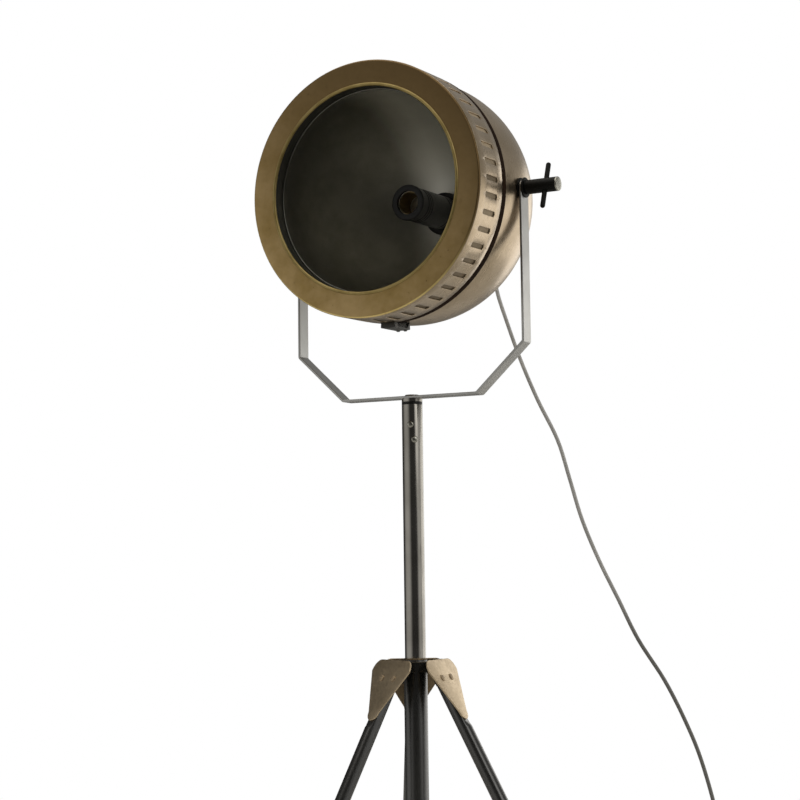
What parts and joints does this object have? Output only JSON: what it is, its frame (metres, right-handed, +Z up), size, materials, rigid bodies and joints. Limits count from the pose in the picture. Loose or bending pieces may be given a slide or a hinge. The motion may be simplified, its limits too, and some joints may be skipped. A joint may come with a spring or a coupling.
{
  "type": "floor lamp",
  "caption": "Searchlight-style floor lamp: a vented drum head tilts in a bent yoke on a telescoping mast over a splayed tripod, with a side tilt handle, foot switch and plug.",
  "frame": {"origin": "on the floor, under the mast's axis", "axes": "+Z up along the mast, -Y the way the lamp faces, +X towards the tilt handle"},
  "size_m": [0.6189, 0.6909, 1.3917],
  "materials": {
    "black_enamel": "gloss black stove enamel",
    "antique_brass": "dull antique brass with dark patina",
    "bronze_paint": "satin greyed bronze",
    "black_nickel": "dark nickel plate",
    "nickel": "satin nickel plate",
    "steel": "bright zinc",
    "satin_black": "satin black paint",
    "black_plastic": "matt black moulding",
    "rubber": "matt black",
    "socket_brass": "plain brass",
    "ceramic": "off-white fired insulator",
    "cord_jacket": "dark grey flexible jacket"
  },
  "bodies": {
    "stand": {"leg_right": "black_enamel", "leg_rear": "black_enamel", "leg_left": "black_enamel", "foot_right": "rubber", "foot_rear": "rubber", "foot_left": "rubber", "hub_core": "black_enamel", "hub_plate_right": "antique_brass", "hub_plate_rear": "antique_brass", "hub_plate_left": "antique_brass", "hub_screws": "black_nickel", "column": "black_enamel", "column_bush": "black_plastic", "column_end_cap": "black_plastic", "cord_drop": "cord_jacket", "cord_coil": "cord_jacket", "coil_tie": "black_plastic", "switch_base": "black_plastic", "switch_cover": "black_plastic", "plug_body": "black_plastic", "plug_pins": "steel"},
    "lift_knob": {"lift_knob": "black_plastic"},
    "mast": {"mast_tube": "black_nickel", "mast_glide": "black_plastic", "mast_bush": "black_plastic", "pan_lock_screws": "steel"},
    "yoke": {"yoke_strip": "nickel", "yoke_spigot": "black_nickel", "yoke_bolt": "black_nickel"},
    "head": {"rear_shell": "bronze_paint", "front_band": "bronze_paint", "front_ring": "antique_brass", "seam_ring": "satin_black", "vent_liner": "bronze_paint", "inner_sleeve": "satin_black", "reflector": "satin_black", "seam_clip": "satin_black", "clip_screws": "steel", "holder_base": "black_plastic", "holder_body": "black_plastic", "holder_ring": "black_plastic", "holder_insulator": "ceramic", "holder_thread": "socket_brass", "holder_contact": "socket_brass", "nipple": "socket_brass", "nipple_nut": "steel", "inner_lead": "cord_jacket", "cord_gland": "black_plastic", "pivot_spacer_right": "satin_black", "pivot_spacer_left": "satin_black", "pivot_nut_right": "steel", "pivot_nut_left": "steel", "pivot_bolt": "steel"},
    "tilt_handle": {"handle_rod": "black_enamel", "handle_bar": "black_enamel", "handle_cap": "steel", "handle_washer": "satin_black"},
    "switch_button": {"switch_button": "black_plastic"}
  },
  "joints": [
    {"name": "lift", "type": "slide", "parent": "stand", "child": "mast", "axis": [0, 0, 1], "range_m": [-0.2, 0.12], "deforming": ["cord_drop"]},
    {"name": "pan", "type": "hinge", "parent": "mast", "child": "yoke", "pos_m": [0, 0, 1], "axis": [0, 0, 1], "range_deg": [-90, 90], "deforming": ["cord_drop"]},
    {"name": "tilt", "type": "hinge", "parent": "yoke", "child": "head", "pos_m": [0, 0, 1.242], "axis": [1, 0, 0], "range_deg": [-60, 60], "deforming": ["cord_drop"]},
    {"name": "handle_turn", "type": "hinge", "parent": "head", "child": "tilt_handle", "pos_m": [0.18, 0, 1.242], "axis": [1, 0, 0], "range_deg": [-90, 90]},
    {"name": "lift_knob_turn", "type": "hinge", "parent": "stand", "child": "lift_knob", "pos_m": [0.01362, 0.02673, 0.6785], "axis": [0.454, 0.891, 0], "range_deg": [-180, 180]},
    {"name": "switch_press", "type": "slide", "parent": "stand", "child": "switch_button", "axis": [0, 0, -1], "range_m": [0, 0.003], "stiffness_N_per_m": 900, "springref_m": -0.002}
  ]
}
